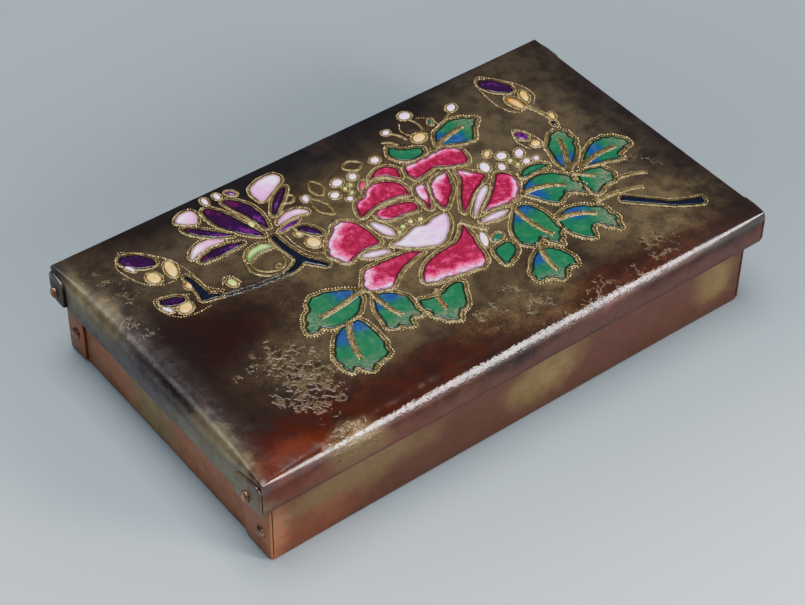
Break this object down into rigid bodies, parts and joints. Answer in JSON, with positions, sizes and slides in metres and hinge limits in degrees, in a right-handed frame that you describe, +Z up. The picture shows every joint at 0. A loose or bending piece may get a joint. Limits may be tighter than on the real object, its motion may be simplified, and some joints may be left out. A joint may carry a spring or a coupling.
{
  "type": "cloisonne enamel box",
  "caption": "Flat rectangular copper box with a lift-off lid, folded and riveted corners, and peony and magnolia enamels between raised copper lines on the lid.",
  "frame": {"origin": "under the middle of the lid's length and width, on the surface the box stands on", "axes": "+X along the long side towards the right end, +Y to the back long side, +Z up"},
  "size_m": [0.2044, 0.1172, 0.0386],
  "materials": {
    "lid_copper": "patinated copper sheet, dark brown with olive-gold and oxblood clouds, waxed",
    "tray_copper": "patinated copper sheet, warm brown with soft olive patches, waxed",
    "rivet_copper": "patinated copper, rubbed bright on the crown",
    "crimson_enamel": "translucent crimson enamel fading to pink and white at the rim, glossy",
    "blush_enamel": "white to pale lilac enamel, glossy",
    "green_enamel": "emerald enamel, blue towards the leaf base, glossy",
    "violet_enamel": "deep violet translucent enamel, glossy",
    "rose_enamel": "pale rose enamel, glossy",
    "jade_enamel": "pale jade enamel, glossy",
    "cream_enamel": "cream to peach enamel, glossy",
    "navy_enamel": "dark navy enamel, glossy"
  },
  "bodies": {
    "root": {"enamel_bud_far_left_tip": "violet_enamel", "enamel_bud_far_right_scale": "cream_enamel", "enamel_bud_far_right_tip": "violet_enamel", "enamel_bud_left_tip": "violet_enamel", "enamel_bud_stem_tip": "violet_enamel", "enamel_leaf_bottom": "green_enamel", "enamel_leaf_far_inner": "green_enamel", "enamel_leaf_far_lower": "green_enamel", "enamel_leaf_far_right": "green_enamel", "enamel_leaf_far_upper": "green_enamel", "enamel_leaf_left_inner": "green_enamel", "enamel_leaf_left_lower": "green_enamel", "enamel_leaf_left_upper": "green_enamel", "enamel_leaf_lowest": "green_enamel", "enamel_leaf_right": "green_enamel", "enamel_leaf_right_lower": "green_enamel", "enamel_leaf_right_tip": "green_enamel", "enamel_leaf_small_lower": "green_enamel", "enamel_leaf_top": "green_enamel", "enamel_leaf_top_small": "green_enamel", "enamel_left_bud_twig": "navy_enamel", "enamel_magnolia_calyx": "jade_enamel", "enamel_magnolia_left": "rose_enamel", "enamel_magnolia_lower_left": "violet_enamel", "enamel_magnolia_right": "rose_enamel", "enamel_magnolia_slender_left": "violet_enamel", "enamel_magnolia_slender_right": "violet_enamel", "enamel_magnolia_tall_left": "violet_enamel", "enamel_magnolia_tall_right": "violet_enamel", "enamel_magnolia_twig": "navy_enamel", "enamel_magnolia_upper_left": "rose_enamel", "enamel_magnolia_upper_right": "rose_enamel", "enamel_pale_petal_left": "blush_enamel", "enamel_pale_petal_lower_right": "blush_enamel", "enamel_pale_petal_middle": "blush_enamel", "enamel_pale_petal_right": "blush_enamel", "enamel_pale_petal_upper_left": "blush_enamel", "enamel_peony_petal_bottom": "crimson_enamel", "enamel_peony_petal_heart": "crimson_enamel", "enamel_peony_petal_inner_left": "crimson_enamel", "enamel_peony_petal_inner_middle": "crimson_enamel", "enamel_peony_petal_inner_right": "crimson_enamel", "enamel_peony_petal_left": "crimson_enamel", "enamel_peony_petal_lower_left": "crimson_enamel", "enamel_peony_petal_right": "crimson_enamel", "enamel_peony_petal_top": "crimson_enamel", "enamel_peony_petal_top_left": "crimson_enamel", "enamel_peony_petal_top_right": "crimson_enamel", "enamel_peony_twig": "navy_enamel", "lid": "lid_copper", "lid_rivet_back_left": "rivet_copper", "lid_rivet_back_right": "rivet_copper", "lid_rivet_front_left": "rivet_copper", "lid_rivet_front_right": "rivet_copper", "tray": "tray_copper", "tray_rivet_back_left": "rivet_copper", "tray_rivet_back_right": "rivet_copper", "tray_rivet_front_left": "rivet_copper", "tray_rivet_front_right": "rivet_copper"}
  },
  "joints": []
}
